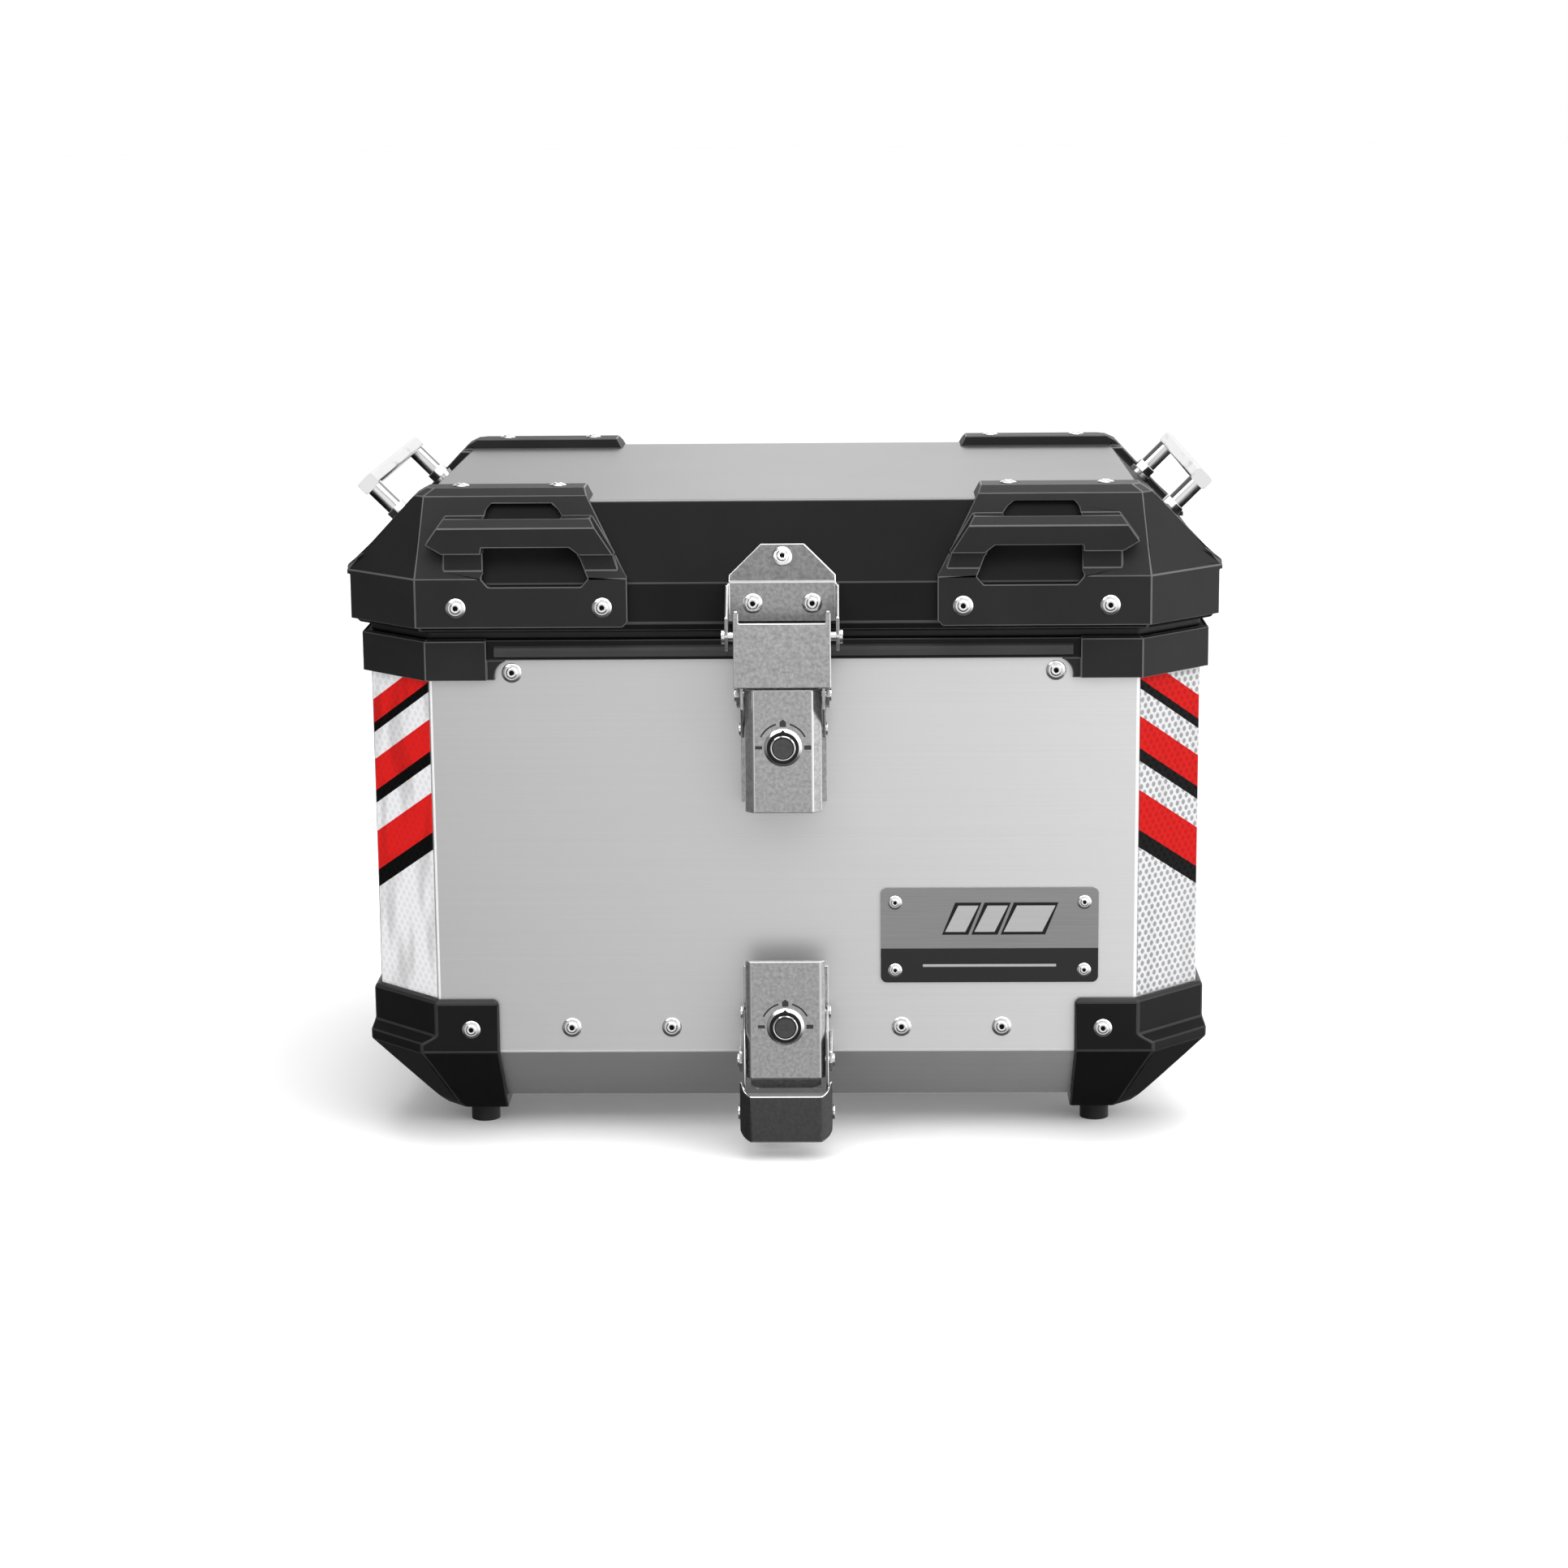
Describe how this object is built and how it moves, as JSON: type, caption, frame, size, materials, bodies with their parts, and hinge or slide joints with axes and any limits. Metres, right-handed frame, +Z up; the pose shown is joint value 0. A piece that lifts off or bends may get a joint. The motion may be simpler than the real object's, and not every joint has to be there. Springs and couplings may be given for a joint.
{
  "type": "motorcycle top case",
  "caption": "Lockable aluminium motorcycle top case with cut corners, black corner guards, hinged lid with strap loops, side handles and draw latches above and below.",
  "frame": {"origin": "middle of the underside, at the height of the four feet's bottoms", "axes": "+X to the right and the longest side, -Y out of the latch side, +Y out of the hinge side, +Z up"},
  "size_m": [0.432, 0.3225, 0.3344],
  "materials": {
    "brushed_aluminium": "brushed",
    "lid_top_aluminium": "satin",
    "black_powder_coat": "satin",
    "guard_plastic": "fine grain",
    "seal_rubber": "matt",
    "foot_rubber": "matt",
    "latch_steel": "bead blasted",
    "bright_steel": "polished",
    "rivet_metal": "bright",
    "lock_metal": "dark nickel",
    "tape_film": "honeycomb retroreflective film",
    "plate_metal": "brushed and printed"
  },
  "bodies": {
    "case": {"body_rim": "black_powder_coat", "body_rivets": "rivet_metal", "body_shell": "brushed_aluminium", "dock_hooks": "guard_plastic", "feet": "foot_rubber", "hinge_body_leaves": "latch_steel", "hinge_body_rivets": "rivet_metal", "hinge_pins": "latch_steel", "inner_rails": "brushed_aluminium", "latch_base_rivets": "rivet_metal", "lower_guard_front_left": "guard_plastic", "lower_guard_front_right": "guard_plastic", "lower_guard_rear_left": "guard_plastic", "lower_guard_rear_right": "guard_plastic", "lower_latch_base": "latch_steel", "lower_lever_pins": "bright_steel", "name_plate": "plate_metal", "plate_rivets": "rivet_metal", "rim_seal": "seal_rubber", "tape_left": "tape_film", "tape_right": "tape_film", "upper_guard_front_left": "guard_plastic", "upper_guard_front_right": "guard_plastic", "upper_guard_rear_left": "guard_plastic", "upper_guard_rear_right": "guard_plastic", "upper_latch_base": "latch_steel", "upper_lever_pins": "bright_steel"},
    "lid": {"lid_shell": "black_powder_coat", "lid_top_panel": "lid_top_aluminium", "lid_rivets": "rivet_metal", "keeper_bracket": "latch_steel", "keeper_pin": "bright_steel", "keeper_rivets": "rivet_metal", "hinge_lid_leaves": "latch_steel", "hinge_lid_rivets": "rivet_metal", "handle_grip_left": "bright_steel", "handle_grip_right": "bright_steel", "handle_collars": "bright_steel", "handle_flanges": "bright_steel", "handle_nuts": "latch_steel", "lid_guard_front_right": "guard_plastic", "lid_guard_front_left": "guard_plastic", "lid_guard_rear_right": "guard_plastic", "lid_guard_rear_left": "guard_plastic"},
    "upper_lever": {"upper_lever": "latch_steel", "upper_link_pins": "bright_steel", "upper_lock_barrel": "bright_steel", "upper_lock_nut": "lock_metal"},
    "upper_link": {"upper_link": "latch_steel"},
    "upper_lock": {"upper_lock_plug": "lock_metal", "upper_lock_cam": "lock_metal"},
    "lower_lever": {"lower_lever": "latch_steel", "lower_link_pins": "bright_steel", "lower_lock_barrel": "bright_steel", "lower_lock_nut": "lock_metal"},
    "lower_hook": {"lower_hook": "latch_steel", "lower_hook_pin": "bright_steel"},
    "lower_lock": {"lower_lock_plug": "lock_metal", "lower_lock_cam": "lock_metal"}
  },
  "joints": [
    {"name": "lid_hinge", "type": "hinge", "parent": "case", "child": "lid", "pos_m": [0, 0.152, 0.263], "axis": [-1, 0, 0], "range_deg": [0, 100]},
    {"name": "upper_lever_turn", "type": "hinge", "parent": "case", "child": "upper_lever", "pos_m": [0, -0.1525, 0.2325], "axis": [-1, 0, 0], "range_deg": [0, 95]},
    {"name": "upper_link_turn", "type": "hinge", "parent": "upper_lever", "child": "upper_link", "pos_m": [0, -0.1475, 0.2148], "axis": [-1, 0, 0], "range_deg": [-96, 0]},
    {"name": "upper_lock_turn", "type": "hinge", "parent": "upper_lever", "child": "upper_lock", "pos_m": [0, -0.16, 0.2082], "axis": [0, -1, 0], "range_deg": [0, 90]},
    {"name": "lower_lever_turn", "type": "hinge", "parent": "case", "child": "lower_lever", "pos_m": [0, -0.1525, 0.049], "axis": [1, 0, 0], "range_deg": [0, 90]},
    {"name": "lower_hook_turn", "type": "hinge", "parent": "lower_lever", "child": "lower_hook", "pos_m": [0, -0.1475, 0.072], "axis": [1, 0, 0], "range_deg": [-132, 0]},
    {"name": "lower_lock_turn", "type": "hinge", "parent": "lower_lever", "child": "lower_lock", "pos_m": [0, -0.16, 0.0684], "axis": [0, -1, 0], "range_deg": [0, 90]}
  ],
  "couplings": [
    {"joint": "upper_link_turn", "follows": "upper_lever_turn", "ratio": -1},
    {"joint": "lower_hook_turn", "follows": "lower_lever_turn", "ratio": -1.45}
  ]
}
